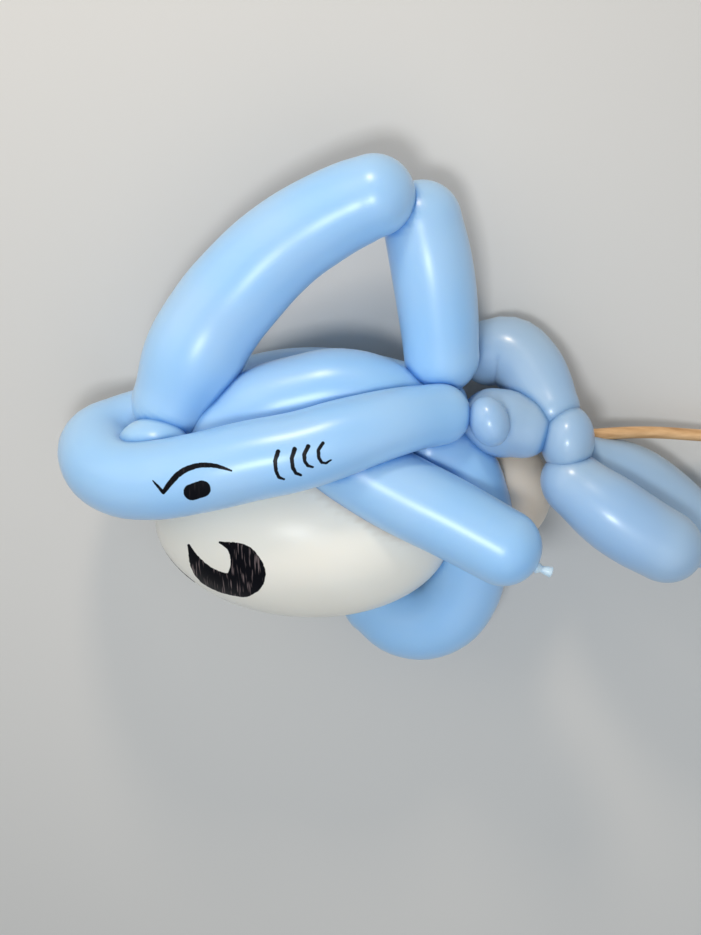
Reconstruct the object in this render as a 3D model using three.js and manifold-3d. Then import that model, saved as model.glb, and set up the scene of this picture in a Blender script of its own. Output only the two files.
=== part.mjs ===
// A balloon shark lying on its far side: a blue balloon for head, fins and nose, a second one for the
// tail, a white one for the belly, and the wooden stick that holds the shark. Millimetres, +Z up, nose
// toward -X, dorsal fin toward +Y. The table is the plane Z = 0.
import * as THREE from 'three';
import { mergeVertices } from 'three/addons/utils/BufferGeometryUtils.js';
import Module from 'manifold-3d';

const SHARK_LENGTH = 444;      // nose to tail tip, the stick left out
const STICK_DIAMETER = 8;
const STICK_RING_STEP = 40;    // distance between the stick's rings
const STICK_REACH = 110;       // how far the stick runs past the tail tip
const KNOT_DIAMETER = 9;
const CONTACT_GAP = 0.3;       // clearance between two pieces that press on each other
const SIDES = 16;              // facets round a bubble
const RING_STEP = 20;          // distance between a bubble's rings
const CAP_RINGS = 3;           // rings in a bubble's rounded end
const CREASE_TOLERANCE = 0.08; // slivers thinner than this are melted where bubbles meet

// The pose is given for this length, and every bubble keeps its share of it.
const POSE_LENGTH = 444;
const share = SHARK_LENGTH / POSE_LENGTH;

const wasm = await Module();
wasm.setup();

function toSolid(geometry) {
  const bare = geometry.clone();
  bare.deleteAttribute('normal');
  bare.deleteAttribute('uv');
  const merged = mergeVertices(bare, 1e-4);
  const corners = [];
  for (let i = 0; i < merged.index.count; i += 3) {
    const a = merged.index.getX(i);
    const b = merged.index.getX(i + 1);
    const c = merged.index.getX(i + 2);
    if (a !== b && b !== c && c !== a) corners.push(a, b, c);
  }
  return new wasm.Manifold(new wasm.Mesh({
    numProp: 3,
    vertProperties: new Float32Array(merged.attributes.position.array),
    triVerts: new Uint32Array(corners),
  }));
}

function toGeometry(solid) {
  const mesh = solid.getMesh();
  const geometry = new THREE.BufferGeometry();
  geometry.setAttribute('position', new THREE.BufferAttribute(new Float32Array(mesh.vertProperties), 3));
  geometry.setIndex(new THREE.BufferAttribute(new Uint32Array(mesh.triVerts), 1));
  geometry.computeVertexNormals();
  return geometry;
}

function joined(solids) {
  return solids.reduce((whole, next) => whole.add(next));
}

// A closed tube along a curve: a lathe turned straight, then laid along the path. Its radius follows
// the radii given at the path's points, and both ends are half ellipsoids that reach past the path.
function tube(points, radii, caps = [1, 1], sides = SIDES, step = RING_STEP) {
  const curve = new THREE.CatmullRomCurve3(points, false, 'centripetal');
  const length = curve.getLength();
  const steps = Math.max(1, Math.round(length / step));
  const frames = curve.computeFrenetFrames(steps, false);
  const last = points.length - 1;
  const radiusAt = (u) => {
    const at = curve.getUtoTmapping(u) * last;
    const from = Math.min(last - 1, Math.floor(at));
    const blend = THREE.MathUtils.smoothstep(at - from, 0, 1);
    return THREE.MathUtils.lerp(radii[from], radii[from + 1], blend);
  };
  const stations = [];
  for (let i = 0; i <= CAP_RINGS; i++) {
    const angle = (i / (CAP_RINGS + 1)) * Math.PI / 2;
    const reach = radii[0] * caps[0] * Math.cos(angle);
    stations.push({ ring: 0, beyond: -reach, radius: radii[0] * Math.sin(angle) });
  }
  for (let i = 0; i <= steps; i++) stations.push({ ring: i, beyond: 0, radius: radiusAt(i / steps) });
  for (let i = CAP_RINGS; i >= 0; i--) {
    const angle = (i / (CAP_RINGS + 1)) * Math.PI / 2;
    const reach = radii[last] * caps[1] * Math.cos(angle);
    stations.push({ ring: steps, beyond: reach, radius: radii[last] * Math.sin(angle) });
  }
  const profile = stations.map((s, i) => new THREE.Vector2(s.radius, i));
  const geometry = new THREE.LatheGeometry(profile, sides);
  const position = geometry.attributes.position;
  for (let i = 0; i < position.count; i++) {
    const station = stations[i % stations.length];
    const place = curve.getPointAt(station.ring / steps);
    place.addScaledVector(frames.tangents[station.ring], station.beyond);
    place.addScaledVector(frames.binormals[station.ring], position.getX(i));
    place.addScaledVector(frames.normals[station.ring], position.getZ(i));
    position.setXYZ(i, place.x, place.y, place.z);
  }
  return toSolid(geometry);
}

const posed = ([x, y, z]) => new THREE.Vector3(x, y, z).multiplyScalar(share);

// grow is the clearance that a neighbour is given when it is cut back from this bubble.
function bubble(form, grow) {
  const radii = form.radii.map((radius) => radius * share + grow);
  return tube(form.path.map(posed), radii, form.caps);
}

function ellipsoid(form, grow) {
  const half = form.half.map((size) => size * share + grow);
  const geometry = new THREE.SphereGeometry(1, form.sides, form.sides / 2);
  geometry.rotateZ(Math.PI / 2);
  geometry.scale(...half);
  const turn = new THREE.Quaternion().setFromUnitVectors(
    new THREE.Vector3(1, 0, 0),
    new THREE.Vector3(...form.axis).normalize(),
  );
  geometry.applyQuaternion(turn);
  geometry.translate(...posed(form.centre).toArray());
  return toSolid(geometry);
}

// The blue head balloon, from its knot on.
const pectoralFin = {
  path: [[-82, -11, 90], [-66, -19, 95], [-34, -35, 101], [-2, -49, 107], [31.5, -64.7, 114]],
  radii: [24, 25.5, 26, 25.5, 24.5],
};
const noseRing = {
  path: [
    [-10, 12, 84], [-34, 12, 100], [-65, 6, 113], [-95, -2, 121], [-125, -8, 125], [-156, -16, 126],
    [-189, -24, 120], [-213, -26, 108], [-229, -22, 88], [-232, -18, 68], [-221, -16, 52.5],
    [-201, -12, 39.5], [-172, -4, 29.5], [-139, 5, 23.5], [-105, 12, 25], [-71, 14, 33], [-37, 13, 47],
    [-12, 10, 60],
  ],
  radii: [19.5, 21, 23.5, 24.5, 25, 25, 25, 25, 25, 25, 25, 25, 25, 25, 25, 24, 22, 20],
};
const backBubble = {
  path: [[-147, 2, 80], [-126, 12, 79], [-99, 20, 77], [-71, 24, 74], [-44, 19, 73], [-28, 12, 72]],
  radii: [20, 25, 26, 26, 23, 18],
  caps: [1.4, 1],
};
const noseBubble = { centre: [-190, -8, 101], half: [23, 18, 18], axis: [1, 0, 0], sides: 12 };
const dorsalFront = {
  path: [
    [-181, 14, 77], [-169, 41, 74], [-154, 67, 71], [-138, 87, 71], [-112, 113, 70], [-86, 131, 71],
    [-63, 143, 72], [-53, 147, 73],
  ],
  radii: [26.5, 31.5, 31.5, 31, 29.5, 28, 26.5, 25.5],
};
const dorsalRear = {
  path: [[-24, 129, 54], [-18, 104, 57], [-13, 73, 58], [-10, 43, 59]],
  radii: [25, 26, 25.5, 24],
};
const lowerFin = {
  path: [
    [-16, -17, 68], [2, -27, 65], [11, -52, 61], [14, -77, 55], [11, -100, 51], [7, -123, 49],
    [-9, -144, 48], [-32, -149, 43], [-52, -140, 34],
  ],
  radii: [20, 22, 25, 25.5, 25.5, 26, 26.5, 26, 24],
};
const knot = { start: [50.3, -76.6, 115.2], end: [61.3, -80, 115.4] };

// The blue tail balloon.
const neckBubble = {
  centre: [20.9, 8.5, 86],
  half: [16.2, 12.3, 13.5],
  axis: [-0.35, 0.901, -0.258],
  sides: 12,
};
const bodyBubble = { path: [[24, 0, 60], [34, -1.5, 59], [43, -3.5, 58.5]], radii: [22, 22, 20] };
const jointBubble = { centre: [72, -10.7, 59.7], half: [17.5, 22.5, 22.5], axis: [1, 0, 0], sides: 16 };
const upperLobe = {
  path: [[22, 36, 21], [33, 37, 22.5], [44, 31, 28], [55, 18, 39], [62, 7, 50]],
  radii: [22, 23.5, 23, 21, 18],
};
const lowerLobeNear = {
  path: [[79, -39, 70], [97, -51, 77], [116, -63, 81], [135, -73, 83]],
  radii: [21, 24, 24.5, 23.5],
  caps: [1.2, 1.1],
};
const lowerLobeFar = {
  path: [[89, -36, 35], [113, -45, 30], [138, -62, 29], [163, -82, 35]],
  radii: [20, 23, 24, 22],
  caps: [1.2, 1.2],
};

// The white belly balloon: the jaw and belly in one, the small rear bubble and the twist between them.
const belly = { centre: [-99.2, -72.5, 61], half: [99, 62.8, 62.4], axis: [0.996, -0.067, -0.054], sides: 28 };
const rearBubble = { centre: [38, -57.5, 33], half: [33, 27, 27], axis: [0, 0.954, -0.299], sides: 16 };
const bellyTwist = { path: [[-22, -86, 38], [0, -84, 24], [20, -72, 22], [34, -62, 28]], radii: [8, 4, 4, 8] };

function knotSolid(grow) {
  const start = posed(knot.start);
  const end = posed(knot.end);
  const middle = start.clone().lerp(end, 0.5);
  const wide = KNOT_DIAMETER / 2 + grow;
  return tube([start, middle, end], [wide * 0.55, wide * 0.8, wide], [1, 0.6], 10, 5);
}

function headSolid(grow) {
  return joined([
    bubble(pectoralFin, grow),
    bubble(noseRing, grow),
    bubble(backBubble, grow),
    ellipsoid(noseBubble, grow),
    bubble(dorsalFront, grow),
    bubble(dorsalRear, grow),
    bubble(lowerFin, grow),
    knotSolid(grow),
  ]);
}

function tailSolid(grow) {
  return joined([
    ellipsoid(neckBubble, grow),
    bubble(bodyBubble, grow),
    ellipsoid(jointBubble, grow),
    bubble(upperLobe, grow),
    bubble(lowerLobeNear, grow),
    bubble(lowerLobeFar, grow),
  ]);
}

function bellySolid(grow) {
  return joined([ellipsoid(belly, grow), ellipsoid(rearBubble, grow), bubble(bellyTwist, grow)]);
}

// The stick slopes down from the tail joint until its free end rests on the table.
const stickPath = [[70, -17, 36], [122, -15.5, 26], [163, -19, 18.5]];
const stickEndY = -31.5;
const tailTip = lowerLobeFar.path[3][0] * share + lowerLobeFar.radii[3] * share;
function stickSolid(grow) {
  const path = [
    ...stickPath.map(posed),
    new THREE.Vector3(tailTip + STICK_REACH, stickEndY * share, STICK_DIAMETER / 2),
  ];
  return tube(path, path.map(() => STICK_DIAMETER / 2 + grow), [0.35, 0.35], 10, STICK_RING_STEP);
}

// The table: what would sink into it is cut off flat.
const tableGeometry = new THREE.BoxGeometry(4 * SHARK_LENGTH, 4 * SHARK_LENGTH, SHARK_LENGTH);
tableGeometry.translate(0, 0, -SHARK_LENGTH / 2);
const table = toSolid(tableGeometry);

const stick = stickSolid(0).subtract(table);
const head = headSolid(0).subtract(table);
const tail = tailSolid(0).subtract(headSolid(CONTACT_GAP)).subtract(stickSolid(CONTACT_GAP)).subtract(table);
const white = bellySolid(0).subtract(headSolid(CONTACT_GAP)).subtract(tailSolid(CONTACT_GAP)).subtract(table);

const blueLatex = { color: 0x8fc0ee, roughness: 0.3, metalness: 0 };
const whiteLatex = { color: 0xe8e4da, roughness: 0.32, metalness: 0 };
const wood = { color: 0xd9a36b, roughness: 0.6, metalness: 0 };

function part(name, solid, look) {
  const clean = solid.asOriginal().simplify(CREASE_TOLERANCE);
  const mesh = new THREE.Mesh(toGeometry(clean), new THREE.MeshStandardMaterial(look));
  mesh.name = name;
  return mesh;
}

const group = new THREE.Group();
group.add(part('head_balloon', head, blueLatex));
group.add(part('tail_balloon', tail, blueLatex));
group.add(part('belly_balloon', white, whiteLatex));
group.add(part('stick', stick, wood));

const box = new THREE.Box3().setFromObject(group);
const centre = box.getCenter(new THREE.Vector3());
group.position.set(-centre.x, -centre.y, -box.min.z);

export default group;
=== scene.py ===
"""A balloon shark lying on its far side on a pale table, seen from above."""
import math

import bpy
import numpy as np
from mathutils import Matrix, Vector
from mathutils.geometry import interpolate_bezier


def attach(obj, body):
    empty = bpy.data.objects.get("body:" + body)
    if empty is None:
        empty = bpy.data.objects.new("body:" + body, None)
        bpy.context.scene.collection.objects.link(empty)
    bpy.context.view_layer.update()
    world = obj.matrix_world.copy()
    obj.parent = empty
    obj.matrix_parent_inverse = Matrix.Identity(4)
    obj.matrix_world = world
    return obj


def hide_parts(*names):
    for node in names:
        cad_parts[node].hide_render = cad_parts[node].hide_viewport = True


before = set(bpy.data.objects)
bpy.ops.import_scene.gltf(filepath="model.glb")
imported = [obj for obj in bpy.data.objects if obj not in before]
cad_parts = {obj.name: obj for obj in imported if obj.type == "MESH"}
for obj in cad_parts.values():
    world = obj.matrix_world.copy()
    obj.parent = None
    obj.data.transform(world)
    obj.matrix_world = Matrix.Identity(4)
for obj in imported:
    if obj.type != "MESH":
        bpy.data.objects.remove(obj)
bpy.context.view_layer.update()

MM = 0.001
FAR = 1.0   # metres, more than any distance in the model

# Lengths below are in millimetres. The bubbles' places are those of the solids before their middle
# is moved to the origin.
SHIFT = Vector((-20.0, 0.15, 0.0))
RING_STEP = 4.0         # distance between a bubble's rings
SPHERE_RINGS = 25       # rings of the sphere that a long bubble's two ends come from
CORE_STEPS = 20         # balls from a round bubble's middle to either end
CREASE_ANGLE = math.radians(35)
CREASE_SHADE_REACH = 5.0       # how near another bubble has to be for the painted crease shade to show
CREASE_SHADE_FADE = 1.8        # how fast that painted shade fades with the distance

# The side view is the photograph's.
PHOTO_WIDTH, PHOTO_HEIGHT = 701, 935
ORIGIN_PIXEL = (350, 420)       # the pixel of the side view's origin
PIXEL = 0.64                    # the width of a pixel in the plane of that origin
NEAR_ARM_PIXEL = 0.602          # on the near arm of the nose ring, nearer to the camera
JAW_PIXEL = 0.637               # on the near side of the jaw
JAW_EDGE_PIXEL = 0.664          # on the jaw's outline
NEAR_ARM_ASIDE = 38.0           # the arms' ink stays this far from the shark's middle plane
CAMERA_DISTANCE = 1000.0

INK_BLACK = (0.002, 0.002, 0.004, 1)
INK_SKIPPED = (0.17, 0.13, 0.13, 1)     # between the strokes of the pen, where it has skipped
INK_EDGE = 0.25                         # half the width of the ink's soft edge
DARK_GRAIN = (0.50, 0.27, 0.11, 1)
PALE_GRAIN = (0.80, 0.50, 0.25, 1)
TABLE_PAPER = (0.62, 0.61, 0.59, 1)
STUDIO_AIR = (0.86, 0.93, 1.0, 1)


def view_axes():
    """Right, up and outward axes of the side view in the table's frame."""
    out = Vector((0.0716, 0.2999, 0.9513)).normalized()
    right = Vector((0.99718, 0.0, -0.07502)).normalized()
    up = out.cross(right).normalized()
    return right, up, out


RIGHT, UP, OUT = view_axes()
CENTRE = Vector((-67.5, 3.7, 74.1)) + SHIFT     # the side view's origin, near the shark's middle


def spot(point):
    """A place in millimetres on the table, as metres in the model's frame."""
    return (Vector(point) + SHIFT) * MM


def side_spot(across, up, out):
    """A place in millimetres of the side view, as metres in the model's frame."""
    return (CENTRE + RIGHT * across + UP * up + OUT * out) * MM


def clear_selection():
    """Object mode, with nothing selected."""
    if bpy.context.object and bpy.context.object.mode != "OBJECT":
        bpy.ops.object.mode_set(mode="OBJECT")
    bpy.ops.object.select_all(action="DESELECT")


def select_parts(mesh, kind, test):
    """Selects a mesh's vertices or edges by their place, and leaves the mesh in edit mode."""
    bpy.ops.object.mode_set(mode="EDIT")
    bpy.ops.mesh.select_mode(type=kind)
    bpy.ops.mesh.select_all(action="DESELECT")
    bpy.ops.object.mode_set(mode="OBJECT")
    for part in mesh.vertices if kind == "VERT" else mesh.edges:
        part.select = test(part)
    bpy.ops.object.mode_set(mode="EDIT")


def spine(name, path, radii):
    """The smooth line that a bubble follows, with the bubble's radius at each of its points."""
    clear_selection()
    bpy.ops.curve.primitive_bezier_curve_add(radius=1.0, location=(0, 0, 0))
    line = bpy.context.object
    line.name = name + "_spine"
    line.data.dimensions = "3D"
    line.data.resolution_u = 24
    line.data.use_radius = True
    spline = line.data.splines[0]
    spline.bezier_points.add(len(path) - 2)
    for point, place, radius in zip(spline.bezier_points, path, radii):
        point.co = spot(place)
        point.radius = radius * MM
        point.handle_left_type = point.handle_right_type = "AUTO"
    spline.radius_interpolation = "CARDINAL"
    bpy.context.view_layer.update()
    return line


def core_of(line):
    """Balls along a spine that together fill its bubble, as rows of place and radius in metres."""
    rows = []
    points = line.data.splines[0].bezier_points
    for start, end in zip(points[:-1], points[1:]):
        steps = max(2, int((end.co - start.co).length / (RING_STEP * MM)))
        places = interpolate_bezier(start.co, start.handle_right, end.handle_left, end.co, steps + 1)
        for i, place in enumerate(places):
            rows.append((*place, start.radius + (end.radius - start.radius) * i / steps))
    return rows


def turned_sphere(name, sides, rings):
    """A unit sphere whose poles lie along X, in edit mode with everything selected."""
    clear_selection()
    bpy.ops.mesh.primitive_uv_sphere_add(
        segments=sides, ring_count=rings, radius=1.0, location=(0, 0, 0))
    body = bpy.context.object
    body.name = name
    bpy.ops.object.mode_set(mode="EDIT")
    bpy.ops.mesh.select_all(action="SELECT")
    bpy.ops.transform.rotate(value=math.pi / 2, orient_axis="Y", center_override=(0, 0, 0))
    return body


def bubble(name, path, radii, caps=(1.0, 1.0), sides=56):
    """One inflated bubble: a sphere pulled out to a capsule and bent along its spine."""
    line = spine(name, path, radii)
    core = core_of(line)
    length = line.data.splines[0].calc_length()
    body = turned_sphere(name, sides, SPHERE_RINGS)
    mesh = body.data
    select_parts(mesh, "VERT", lambda vertex: vertex.co.x < 0)
    bpy.ops.transform.resize(value=(radii[0] * caps[0] * MM, 1, 1), center_override=(0, 0, 0))
    select_parts(mesh, "VERT", lambda vertex: vertex.co.x > 0)
    bpy.ops.transform.resize(value=(radii[-1] * caps[1] * MM, 1, 1), center_override=(0, 0, 0))
    bpy.ops.transform.translate(value=(length, 0, 0))

    def in_band(edge):
        start, end = (mesh.vertices[i].co.x for i in edge.vertices)
        return (start < length / 2) != (end < length / 2)

    # The long band between the two halves gets its rings.
    select_parts(mesh, "EDGE", in_band)
    bpy.ops.mesh.subdivide(number_cuts=max(2, int(length / (RING_STEP * MM))))
    bpy.ops.mesh.select_all(action="DESELECT")
    bpy.ops.object.mode_set(mode="OBJECT")
    bend = body.modifiers.new("bend", "CURVE")
    bend.object = line
    bend.deform_axis = "POS_X"
    bpy.context.view_layer.update()
    bpy.ops.object.modifier_apply(modifier="bend")
    bpy.data.objects.remove(line, do_unlink=True)
    return body, core


def round_bubble(name, centre, half, axis, sides=64):
    """A round or egg-shaped bubble: a sphere stretched along its axis."""
    body = turned_sphere(name, sides, sides // 2)
    bpy.ops.transform.resize(value=[size * MM for size in half], center_override=(0, 0, 0))
    bpy.ops.object.mode_set(mode="OBJECT")
    turn = Vector((1, 0, 0)).rotation_difference(Vector(axis)).to_matrix().to_4x4()
    body.data.transform(Matrix.Translation(spot(centre)) @ turn)
    # Balls along the bubble's axis that together fill it.
    core = []
    spare = half[0] ** 2 - half[1] ** 2
    for i in range(-CORE_STEPS, CORE_STEPS + 1):
        along = i / CORE_STEPS * 0.98 * max(spare, 0.0) / half[0]
        radius = half[1] * math.sqrt(1 - along ** 2 / spare) if spare > 0 else sum(half) / 3
        core.append((*(spot(centre) + Vector(axis).normalized() * along * MM), radius * MM))
    return body, core


def joined(name, bubbles):
    """One object of all the bubbles of a balloon."""
    clear_selection()
    for body, _ in bubbles:
        body.select_set(True)
    balloon = bubbles[0][0]
    bpy.context.view_layer.objects.active = balloon
    bpy.ops.object.join()
    balloon.name = name
    return balloon


def cut_flat(balloon):
    """The balloon ends flat where it lies on the table, and its creases stay crisp."""
    clear_selection()
    bpy.context.view_layer.objects.active = balloon
    balloon.select_set(True)
    bpy.ops.object.mode_set(mode="EDIT")
    bpy.ops.mesh.select_all(action="SELECT")
    bpy.ops.mesh.bisect(plane_co=(0, 0, 0), plane_no=(0, 0, 1), use_fill=True, clear_inner=True)
    bpy.ops.mesh.select_all(action="DESELECT")
    bpy.ops.object.mode_set(mode="OBJECT")
    bpy.ops.object.shade_smooth_by_angle(angle=CREASE_ANGLE)


def vertex_places(mesh):
    """The places of a mesh's vertices in metres, one row each."""
    places = np.empty(len(mesh.vertices) * 3)
    mesh.vertices.foreach_get("co", places)
    return places.reshape(-1, 3)


def gap_to(core, places):
    """How far each place is from the surface of a bubble, in metres, below 0 inside it."""
    gap = np.full(len(places), FAR)
    for x, y, z, radius in core:
        gap = np.minimum(gap, np.sqrt(((places - (x, y, z)) ** 2).sum(1)) - radius)
    return gap


def mark(mesh, name, values):
    """Keeps a number for each vertex, under a name that the material reads."""
    mesh.attributes.new(name, "FLOAT", "POINT").data.foreach_set("value", values)


def mark_crease_shade(mesh, cores):
    """Painted shade in the creases, where another bubble touches the latex or nearly does: 1 at the touch,
    0 a little way off.
    """
    places = vertex_places(mesh)
    nearest = np.full((len(places), 2), FAR)
    for core in cores:
        nearest = np.sort(np.column_stack([nearest, gap_to(core, places)]), axis=1)[:, :2]
    # The nearest bubble is the one that the point lies on, and the crease with the second nearest gets the
    # painted shade.
    mark(mesh, "crease_shade", np.clip(1.0 - nearest[:, 1] / (CREASE_SHADE_REACH * MM), 0.0, 1.0) ** CREASE_SHADE_FADE)


def mark_slack_and_shade(mesh, core, reach, amount):
    """A tint in and round one small bubble: the pale, hardly blown out latex of the knot, and a painted
    warm shade on the white balloon's rear bubble.
    """
    gap = gap_to(core, vertex_places(mesh))
    mark(mesh, "slack_and_shade", amount * np.clip(1.0 - gap / (reach * MM), 0.0, 1.0))


# Node helpers.


def shader(material_name):
    """A fresh node material: its tree and its shader."""
    material = bpy.data.materials.new(material_name)
    material.use_nodes = True
    tree = material.node_tree
    return material, tree, tree.nodes["Principled BSDF"]


def feed(tree, socket, value):
    """Gives a socket its value, or links it where the value is another node's output."""
    if value is None:
        return
    if isinstance(value, bpy.types.NodeSocket):
        tree.links.new(value, socket)
    else:
        socket.default_value = value


def math_node(tree, operation, first, second=None, clamp=False):
    """What an operation gives for one or two numbers."""
    node = tree.nodes.new("ShaderNodeMath")
    node.operation = operation
    node.use_clamp = clamp
    feed(tree, node.inputs[0], first)
    feed(tree, node.inputs[1], second)
    return node.outputs[0]


def vector_node(tree, operation, first, second=None, scale=None):
    """What an operation gives for one or two vectors: a vector or a number."""
    node = tree.nodes.new("ShaderNodeVectorMath")
    node.operation = operation
    feed(tree, node.inputs[0], first)
    feed(tree, node.inputs[1], second)
    if operation == "SCALE":
        feed(tree, node.inputs["Scale"], scale)
    return node.outputs["Value" if operation in ("DOT_PRODUCT", "DISTANCE") else "Vector"]


def noise(tree, place, scale, detail=2.0):
    """Soft noise from 0 to 1, with so many patches a metre."""
    node = tree.nodes.new("ShaderNodeTexNoise")
    node.inputs["Scale"].default_value = scale
    node.inputs["Detail"].default_value = detail
    tree.links.new(place, node.inputs["Vector"])
    return node.outputs["Fac"]


def stretched(tree, place, scale, turn=0.0):
    """Coordinates scaled and turned about Z, for a pattern that runs one way."""
    node = tree.nodes.new("ShaderNodeMapping")
    node.inputs["Scale"].default_value = scale
    node.inputs["Rotation"].default_value = (0, 0, turn)
    tree.links.new(place, node.inputs["Vector"])
    return node.outputs["Vector"]


def ramp(tree, value, low, high, smooth=False):
    """0 where the value is at low or below, 1 where it is at high, also with low above high."""
    node = tree.nodes.new("ShaderNodeMapRange")
    node.interpolation_type = "SMOOTHSTEP" if smooth else "LINEAR"
    node.inputs["From Min"].default_value = low
    node.inputs["From Max"].default_value = high
    tree.links.new(value, node.inputs["Value"])
    return node.outputs["Result"]


def mixed(tree, amount, first, second):
    """A colour between two others."""
    node = tree.nodes.new("ShaderNodeMix")
    node.data_type = "RGBA"
    feed(tree, node.inputs["Factor"], amount)
    feed(tree, node.inputs["A"], first)
    feed(tree, node.inputs["B"], second)
    return node.outputs["Result"]


def bumped(tree, surface, height, strength, distance):
    """Low relief on a surface."""
    node = tree.nodes.new("ShaderNodeBump")
    node.inputs["Strength"].default_value = strength
    node.inputs["Distance"].default_value = distance
    tree.links.new(height, node.inputs["Height"])
    tree.links.new(node.outputs["Normal"], surface.inputs["Normal"])


def new_group(name, inputs, outputs):
    """An empty node group with its sockets: the group, what it takes and what it gives."""
    group = bpy.data.node_groups.new(name, "ShaderNodeTree")
    for socket_name, kind in inputs:
        group.interface.new_socket(socket_name, in_out="INPUT", socket_type="NodeSocket" + kind)
    for socket_name, kind in outputs:
        group.interface.new_socket(socket_name, in_out="OUTPUT", socket_type="NodeSocket" + kind)
    entry = group.nodes.new("NodeGroupInput").outputs
    return group, entry, group.nodes.new("NodeGroupOutput").inputs


def placed(tree, group, values):
    """A node group put in a material with its own values."""
    node = tree.nodes.new("ShaderNodeGroup")
    node.node_tree = group
    for socket_name, value in values.items():
        feed(tree, node.inputs[socket_name], value)
    return node.outputs


def make_side_view_group():
    """Object coordinates in the side view, in millimetres, with the far side folded on the near one."""
    group, entry, leave = new_group(
        "side_view", [("Position", "Vector")], [("Plane", "Vector"), ("Aside", "Float")])
    local = vector_node(group, "SUBTRACT", entry["Position"], CENTRE * MM)
    local = vector_node(group, "SCALE", local, scale=1.0 / MM)
    across = vector_node(group, "DOT_PRODUCT", local, RIGHT)
    up = vector_node(group, "DOT_PRODUCT", local, UP)
    # The shark's middle plane goes through this point, and its near side is in this direction.
    middle = UP * -4.7 + OUT * -5.0
    side = (UP * -0.435 + OUT * 0.9).normalized()
    aside = vector_node(group, "DOT_PRODUCT", vector_node(group, "SUBTRACT", local, middle), side)
    folded = math_node(group, "MINIMUM", aside, 0.0)
    up = math_node(group, "ADD", up, math_node(group, "MULTIPLY", folded, -2.0 * side.dot(UP)))
    plane = group.nodes.new("ShaderNodeCombineXYZ")
    group.links.new(across, plane.inputs["X"])
    group.links.new(up, plane.inputs["Y"])
    group.links.new(plane.outputs[0], leave["Plane"])
    group.links.new(math_node(group, "ABSOLUTE", aside), leave["Aside"])
    return group


def make_stroke_group():
    """Distance from one straight stroke of the marker, whose width runs from one value to another."""
    group, entry, leave = new_group(
        "marker_stroke",
        [("Plane", "Vector"), ("From", "Vector"), ("To", "Vector"),
         ("From Width", "Float"), ("To Width", "Float")],
        [("Distance", "Float")])
    reach = vector_node(group, "SUBTRACT", entry["Plane"], entry["From"])
    run = vector_node(group, "SUBTRACT", entry["To"], entry["From"])
    along = math_node(group, "DIVIDE", vector_node(group, "DOT_PRODUCT", reach, run),
                      vector_node(group, "DOT_PRODUCT", run, run), clamp=True)
    away = vector_node(group, "DISTANCE", reach, vector_node(group, "SCALE", run, scale=along))
    change = math_node(group, "SUBTRACT", entry["To Width"], entry["From Width"])
    width = math_node(group, "ADD", entry["From Width"], math_node(group, "MULTIPLY", change, along))
    group.links.new(math_node(group, "SUBTRACT", away, width), leave["Distance"])
    return group


def make_ink_group():
    """Black marker over a colour, with a slightly uneven edge, and streaks where the pen has skipped."""
    group, entry, leave = new_group(
        "marker_ink",
        [("Position", "Vector"), ("Plane", "Vector"), ("Distance", "Float"), ("Aside", "Float"),
         ("Aside From", "Float"), ("Colour", "Color"), ("Streaks", "Float")],
        [("Colour", "Color"), ("Mask", "Float")])
    wobble = math_node(group, "SUBTRACT", noise(group, entry["Position"], 420.0), 0.5)
    wobble = math_node(group, "MULTIPLY", wobble, 0.7)
    edge = math_node(group, "ADD", entry["Distance"], wobble)
    inside = ramp(group, edge, INK_EDGE, -INK_EDGE, smooth=True)
    inked = math_node(group, "MULTIPLY", inside,
                      math_node(group, "GREATER_THAN", entry["Aside"], entry["Aside From"]))
    pen = noise(group, stretched(group, entry["Plane"], (0.85, 0.085, 1.0), 0.12), 1.0, 1.0)
    skipped = math_node(group, "MULTIPLY", ramp(group, pen, 0.56, 0.72), entry["Streaks"])
    ink = mixed(group, skipped, INK_BLACK, INK_SKIPPED)
    group.links.new(mixed(group, inked, entry["Colour"], ink), leave["Colour"])
    group.links.new(inked, leave["Mask"])
    return group


def make_latex_group():
    """Inflated latex: darker with painted shade in the creases where a neighbour touches it, and mixed
    towards its slack colour, with crumples, where the slack mark is (pale slack latex at the knot, painted
    warm shade on the white balloon's rear bubble).
    """
    group, entry, leave = new_group(
        "latex_skin",
        [("Position", "Vector"), ("Crease Shade", "Float"), ("Slack And Shade", "Float"), ("Full", "Color"),
         ("Cloud", "Color"), ("Crease Shade Colour", "Color"), ("Slack And Shade Colour", "Color"), ("Dullness", "Float")],
        [("Colour", "Color"), ("Roughness", "Float"), ("Height", "Float")])
    cloud = ramp(group, noise(group, entry["Position"], 13.0, 1.0), 0.3, 0.7, smooth=True)
    colour = mixed(group, cloud, entry["Full"], entry["Cloud"])
    patchy = math_node(group, "MULTIPLY", noise(group, entry["Position"], 60.0), 0.6)
    patchy = math_node(group, "ADD", patchy, 0.7)
    # Painted shade in the creases between bubbles, broken up by noise.
    crease_shade = math_node(group, "MULTIPLY", entry["Crease Shade"], patchy, clamp=True)
    colour = mixed(group, crease_shade, colour, entry["Crease Shade Colour"])
    # Mixed towards the slack colour: pale slack latex at the knot, painted warm shade on the white
    # balloon's rear bubble.
    group.links.new(mixed(group, entry["Slack And Shade"], colour, entry["Slack And Shade Colour"]), leave["Colour"])
    smudge = math_node(group, "MULTIPLY", noise(group, entry["Position"], 30.0, 1.0), 0.06)
    group.links.new(math_node(group, "ADD", entry["Dullness"], smudge), leave["Roughness"])
    ripple = noise(group, entry["Position"], 45.0, 1.0)
    crumple = math_node(group, "MULTIPLY", noise(group, entry["Position"], 900.0, 2.0), entry["Slack And Shade"])
    crumple = math_node(group, "MULTIPLY", crumple, 0.5)
    group.links.new(math_node(group, "ADD", ripple, crumple), leave["Height"])
    return group


SIDE_VIEW = make_side_view_group()
STROKE = make_stroke_group()
INK = make_ink_group()
LATEX = make_latex_group()


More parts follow.
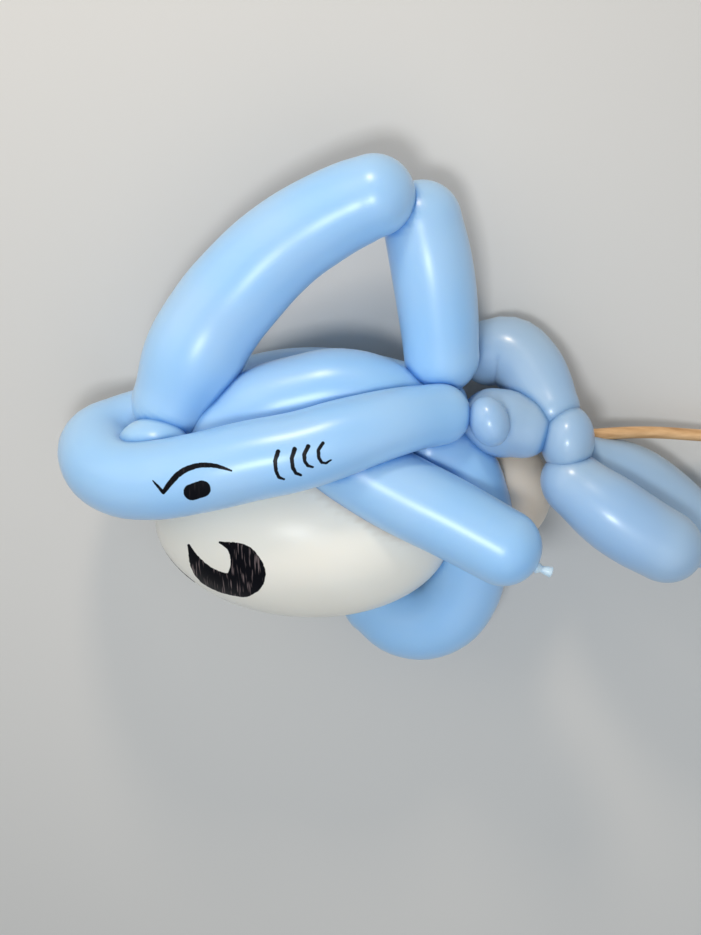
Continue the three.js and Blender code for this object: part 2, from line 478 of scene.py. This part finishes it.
def strokes(tree, plane, lines):
    """Distance from the nearest of several lines of points (across, up, half width), in millimetres."""
    nearest = None
    for line in lines:
        for start, end in zip(line, line[1:]):
            distance = placed(tree, STROKE, {
                "Plane": plane, "From": (start[0], start[1], 0), "To": (end[0], end[1], 0),
                "From Width": start[2], "To Width": end[2]})["Distance"]
            nearest = distance if nearest is None else math_node(tree, "MINIMUM", nearest, distance)
    return nearest


def latex(name, colours, look, lines=(), aside_from=0.0, streaks=0.0):
    """Shiny inflated latex with the marker's lines on it."""
    material, tree, surface = shader(name)
    place = tree.nodes.new("ShaderNodeTexCoord").outputs["Object"]
    values = {"Position": place, "Dullness": look["roughness"]}
    values.update((socket_name, (*colour, 1)) for socket_name, colour in colours.items())
    for socket_name, attribute in (("Crease Shade", "crease_shade"), ("Slack And Shade", "slack_and_shade")):
        node = tree.nodes.new("ShaderNodeAttribute")
        node.attribute_name = attribute
        values[socket_name] = node.outputs["Fac"]
    skin = placed(tree, LATEX, values)
    colour = skin["Colour"]
    surface.inputs["Coat Weight"].default_value = look["coat"]
    if lines:
        view = placed(tree, SIDE_VIEW, {"Position": place})
        drawn = placed(tree, INK, {
            "Position": place, "Plane": view["Plane"], "Distance": strokes(tree, view["Plane"], lines),
            "Aside": view["Aside"], "Aside From": aside_from, "Colour": colour, "Streaks": streaks})
        colour = drawn["Colour"]
        # The ink is dull, so it takes the coat away.
        bare = math_node(tree, "SUBTRACT", 1.0, drawn["Mask"])
        feed(tree, surface.inputs["Coat Weight"], math_node(tree, "MULTIPLY", bare, look["coat"]))
    tree.links.new(colour, surface.inputs["Base Color"])
    tree.links.new(skin["Roughness"], surface.inputs["Roughness"])
    surface.inputs["Specular IOR Level"].default_value = look["shine"]
    surface.inputs["Subsurface Weight"].default_value = look["glow"]
    surface.inputs["Subsurface Radius"].default_value = look["depth"]
    surface.inputs["Subsurface Scale"].default_value = look["glow_reach"]
    surface.inputs["Coat Roughness"].default_value = look["coat_roughness"]
    bumped(tree, surface, skin["Height"], strength=0.06, distance=0.0015)
    return material


def wood(name):
    """Plain turned wood: fine grain along the stick."""
    material, tree, surface = shader(name)
    place = tree.nodes.new("ShaderNodeTexCoord").outputs["Object"]
    grain = noise(tree, stretched(tree, place, (6.0, 260.0, 260.0)), 1.0, 5.0)
    tone = tree.nodes.new("ShaderNodeValToRGB")
    for stop, position, colour in zip(tone.color_ramp.elements, (0.3, 0.7), (DARK_GRAIN, PALE_GRAIN)):
        stop.position = position
        stop.color = colour
    tree.links.new(grain, tone.inputs["Fac"])
    tree.links.new(tone.outputs["Color"], surface.inputs["Base Color"])
    surface.inputs["Roughness"].default_value = 0.5
    bumped(tree, surface, grain, strength=0.3, distance=0.0002)
    return material


def in_mm(lines, pixel):
    """Lines given in the photograph's pixels (right, down, half width), as millimetres of the side view."""
    right, down = ORIGIN_PIXEL
    return [[((u - right) * pixel, (down - v) * pixel, w * pixel) for u, v, w in line] for line in lines]


def rounded(line):
    """The same line with one more point between each two, so that it bends more smoothly."""
    ends = [line[0], *line, line[-1]]
    out = []
    for before, start, end, after in zip(ends, ends[1:], ends[2:], ends[3:]):
        middle = tuple((9 * (b + c) - a - d) / 16 for a, b, c, d in zip(before, start, end, after))
        out += [start, middle]
    return [*out, line[-1]]


BROW = [
    [(152, 481, 0.8), (162.5, 492.5, 2.2)],
    rounded([
        (162.5, 492.5, 2.2), (170, 483, 2.9), (178, 474.5, 3.1), (189, 468, 2.9), (203, 464.8, 2.5),
        (218, 466, 2.1), (232, 470.5, 1.0)]),
]
EYE = [[(191.5, 492.3, 8.4), (202.3, 488.8, 8.6)]]
GILLS = [
    [(278.5, 451.5, 2.25), (275.5, 461, 2.05), (276.5, 471, 1.85), (279, 477, 1.65), (284, 479, 1.15)],
    [(295, 449, 2.35), (292, 458, 2.15), (293, 467, 1.95), (296, 473, 1.75), (301, 475, 1.15)],
    [(308.5, 446, 2.15), (304.5, 454, 2.05), (305, 461, 1.85), (308, 465.5, 1.65), (313, 467, 1.15)],
    [(323, 443, 1.85), (318.5, 450, 1.85), (319, 458, 1.75), (322, 462.5, 1.55), (326, 463, 1.35),
     (331, 460, 0.95)],
]
MOUTH = [
    rounded([
        (188, 546, 1.6), (191.5, 556, 4.5), (196.5, 567, 8.5), (206, 578, 11.5), (223, 585, 12),
        (240, 586, 13.5)]),
    rounded([
        (221, 541.5, 1.2), (230, 544.5, 4), (238, 549.5, 8.5), (244, 556, 13), (247, 564, 16),
        (248, 572, 18.4), (245.5, 578, 18.2), (241, 584, 15.5)]),
]
# The other side's mouth shows as a thin dark line along the jaw's edge.
MOUTH_EDGE = [[(159, 540, 0.9), (166, 552, 1.3), (177, 566, 1.6), (194, 581, 2.2)]]


def head_bubbles():
    """The bubbles of the blue head balloon, whose last one is the knot."""
    return [
        bubble(
            "near_side_fin",
            [(-82, -11, 90), (-66, -19, 95), (-34, -35, 101), (-2, -49, 107), (31.5, -64.7, 114)],
            [24, 25.5, 26, 25.5, 24.5]),
        bubble(
            "nose_ring",
            [(-10, 12, 84), (-34, 12, 100), (-65, 6, 113), (-95, -2, 121), (-125, -8, 125),
             (-156, -16, 126), (-189, -24, 120), (-213, -26, 108), (-229, -22, 88), (-232, -18, 68),
             (-221, -16, 52.5), (-201, -12, 39.5), (-172, -4, 29.5), (-139, 5, 23.5), (-105, 12, 25),
             (-71, 14, 33), (-37, 13, 47), (-12, 10, 60)],
            [19.5, 21, 23.5, 24.5, 25, 25, 25, 25, 25, 25, 25, 25, 25, 25, 25, 24, 22, 20]),
        bubble(
            "back_bubble",
            [(-147, 2, 80), (-126, 12, 79), (-99, 20, 77), (-71, 24, 74), (-44, 19, 73), (-28, 12, 72)],
            [20, 25, 26, 26, 23, 18], caps=(1.4, 1.0)),
        round_bubble("nose_bubble", (-190, -8, 101), half=(23, 18, 18), axis=(1, 0, 0)),
        bubble(
            "dorsal_front",
            [(-181, 14, 77), (-169, 41, 74), (-154, 67, 71), (-138, 87, 71), (-112, 113, 70),
             (-86, 131, 71), (-63, 143, 72), (-53, 147, 73)],
            [26.5, 31.5, 31.5, 31, 29.5, 28, 26.5, 25.5]),
        bubble(
            "dorsal_rear",
            [(-24, 129, 54), (-18, 104, 57), (-13, 73, 58), (-10, 43, 59)],
            [25, 26, 25.5, 24]),
        bubble(
            "lower_fin",
            [(-16, -17, 68), (2, -27, 65), (11, -52, 61), (14, -77, 55), (11, -100, 51), (7, -123, 49),
             (-9, -144, 48), (-32, -149, 43), (-52, -140, 34)],
            [20, 22, 25, 25.5, 25.5, 26, 26.5, 26, 24]),
        bubble(
            "knot",
            [(50.3, -76.6, 115.2), (52.7, -77.4, 115.2), (55.9, -78.4, 115.3), (59.3, -79.4, 115.3),
             (61.8, -80.2, 115.4)],
            [1.9, 3.9, 2.2, 3.1, 3.5], caps=(1, 0.35), sides=24),
    ]


def tail_bubbles():
    """The bubbles of the blue tail balloon."""
    return [
        bubble("body_bubble", [(24, 0, 60), (34, -1.5, 59), (43, -3.5, 58.5)], [22, 22, 20]),
        round_bubble(
            "neck_bubble", (20.9, 8.5, 86), half=(16.2, 12.3, 13.5), axis=(-0.35, 0.901, -0.258)),
        round_bubble("tail_joint", (72, -10.7, 59.7), half=(17.5, 22.5, 22.5), axis=(1, 0, 0)),
        bubble(
            "upper_lobe",
            [(22, 36, 21), (33, 37, 22.5), (44, 31, 28), (55, 18, 39), (62, 7, 50)],
            [22, 23.5, 23, 21, 18]),
        bubble(
            "lower_lobe_near",
            [(79, -39, 70), (97, -51, 77), (116, -63, 81), (135, -73, 83)],
            [21, 24, 24.5, 23.5], caps=(1.2, 1.1)),
        bubble(
            "lower_lobe_far",
            [(89, -36, 35), (113, -45, 30), (138, -62, 29), (163, -82, 35)],
            [20, 23, 24, 22], caps=(1.2, 1.2)),
    ]


def belly_bubbles():
    """The bubbles of the white balloon: the big one, the small one behind it and the twist between."""
    return [
        round_bubble(
            "jaw_and_belly", (-99.2, -72.5, 61), half=(99, 62.8, 62.4), axis=(0.996, -0.067, -0.054),
            sides=96),
        round_bubble("rear_bubble", (38, -57.5, 33), half=(33, 27, 27), axis=(0, 0.954, -0.299)),
        bubble(
            "belly_twist",
            [(-22, -86, 38), (0, -84, 24), (20, -72, 22), (34, -62, 28)],
            [8, 4, 4, 8], sides=24),
    ]


head_parts = head_bubbles()
tail_parts = tail_bubbles()
belly_parts = belly_bubbles()
cores = [core for _, core in head_parts + tail_parts + belly_parts]
knot_core = head_parts[-1][1]
rear_core = belly_parts[1][1]

head = joined("head_balloon_latex", head_parts)
tail = joined("tail_balloon_latex", tail_parts)
belly = joined("belly_balloon_latex", belly_parts)

# Its darkest colour is painted shade for the creases between bubbles; its slack colour is the knot's own
# pale latex.
blue = latex(
    "blue_latex",
    {"Full": (0.31, 0.575, 0.90), "Cloud": (0.37, 0.605, 0.88), "Crease Shade Colour": (0.10, 0.32, 0.72),
     "Slack And Shade Colour": (0.60, 0.78, 0.92)},
    {"roughness": 0.36, "shine": 0.12, "coat": 1.0, "coat_roughness": 0.31,
     "glow": 0.25, "glow_reach": 0.012, "depth": (0.6, 0.8, 1.0)},
    in_mm(BROW + EYE + GILLS, NEAR_ARM_PIXEL), aside_from=NEAR_ARM_ASIDE, streaks=0.1)
# The tail balloon's latex: a greyer, darker copy of the head's blue that paints the shade on the tail; its
# darkest colour is painted crease shade.
tail_blue_shaded = latex(
    "tail_blue_shaded_latex",
    {"Full": (0.32, 0.51, 0.76), "Cloud": (0.37, 0.53, 0.71), "Crease Shade Colour": (0.13, 0.31, 0.60)},
    {"roughness": 0.34, "shine": 0.5, "coat": 0.4, "coat_roughness": 0.2,
     "glow": 0.25, "glow_reach": 0.012, "depth": (0.6, 0.8, 1.0)})
# Its darkest colour is painted shade for the creases between bubbles; its slack colour is a painted warm
# shade on the rear bubble.
white = latex(
    "white_latex",
    {"Full": (0.87, 0.84, 0.76), "Cloud": (0.84, 0.80, 0.71), "Crease Shade Colour": (0.66, 0.58, 0.47),
     "Slack And Shade Colour": (1.0, 0.80, 0.62)},
    {"roughness": 0.38, "shine": 0.1, "coat": 0.6, "coat_roughness": 0.34,
     "glow": 0.25, "glow_reach": 0.012, "depth": (1.0, 0.9, 0.75)},
    in_mm(MOUTH, JAW_PIXEL) + in_mm(MOUTH_EDGE, JAW_EDGE_PIXEL), streaks=1.0)

for piece, node, material, slot in (
        (head, "head_balloon", blue, "blue_latex"),
        (tail, "tail_balloon", tail_blue_shaded, "blue_latex"),
        (belly, "belly_balloon", white, "white_latex")):
    cut_flat(piece)
    # Painted shade in the creases between bubbles.
    mark_crease_shade(piece.data, cores)
    piece.data.materials.clear()
    piece.data.materials.append(material)
    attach(piece, "root")
    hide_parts(node)

# The knot's pale slack latex, and a painted warm shade over the white balloon's rear bubble.
mark_slack_and_shade(head.data, knot_core, reach=1.5, amount=1.0)
mark_slack_and_shade(belly.data, rear_core, reach=3.0, amount=0.9)

# The stick.
stick, _ = bubble(
    "stick_wood",
    [(70, -17, 36), (122, -15.5, 26), (163, -19, 18.5), (295, -31.5, 4.2)],
    [4, 4, 4, 4], caps=(0.35, 0.35), sides=32)
bpy.ops.object.shade_smooth()
stick.data.materials.append(wood("stick_wood"))
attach(stick, "root")
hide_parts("stick")

# Table, light and camera.
clear_selection()
bpy.ops.mesh.primitive_plane_add(size=6.0, location=(0, 0, -0.0002))
floor = bpy.context.object
floor.name = "table"
paper, _, paper_surface = shader("pale_table")
paper_surface.inputs["Base Color"].default_value = TABLE_PAPER
paper_surface.inputs["Roughness"].default_value = 0.8
floor.data.materials.append(paper)

world = bpy.data.worlds.new("studio")
bpy.context.scene.world = world
world.use_nodes = True
background = world.node_tree.nodes["Background"]
background.inputs["Color"].default_value = STUDIO_AIR
background.inputs["Strength"].default_value = 0.3


def lamp(name, place, size, power, colour):
    """A square soft light at a place of the side view in millimetres, turned to the shark."""
    clear_selection()
    stand = side_spot(*place)
    bpy.ops.object.light_add(type="AREA", location=stand)
    light = bpy.context.object
    light.name = name
    light.data.size = size
    light.data.energy = power
    light.data.color = colour
    light.rotation_euler = (stand - side_spot(0, 0, 0)).to_track_quat("Z", "Y").to_euler()


lamp("warm_lamp", (-180, 880, 820), size=0.18, power=5.6, colour=(1.0, 0.86, 0.70))
lamp("cool_lamp", (-110, -230, 1080), size=0.2, power=4.9, colour=(0.93, 0.97, 1.0))
lamp("low_fill", (350, -800, 900), size=1.4, power=3.5, colour=(0.90, 0.95, 1.0))
lamp("side_fill", (-750, 380, 520), size=0.9, power=3.0, colour=(1.0, 0.93, 0.84))

# The camera stands over the side view's origin and looks at what is in the middle of the photograph.
eye = side_spot(0, 0, CAMERA_DISTANCE)
aim = side_spot(
    (PHOTO_WIDTH / 2 - ORIGIN_PIXEL[0]) * PIXEL, (ORIGIN_PIXEL[1] - PHOTO_HEIGHT / 2) * PIXEL, 0)
backward = (eye - aim).normalized()
sideways = UP.cross(backward).normalized()
upward = backward.cross(sideways)
bpy.ops.object.camera_add(location=eye)
camera = bpy.context.object
camera.matrix_world = Matrix.Translation(eye) @ Matrix((sideways, upward, backward)).transposed().to_4x4()
camera.data.sensor_width = 36.0
camera.data.lens = camera.data.sensor_width * (CAMERA_DISTANCE / PIXEL) / PHOTO_HEIGHT
camera.data.clip_start = 0.05
bpy.context.scene.camera = camera

bpy.context.scene.view_settings.view_transform = "Standard"
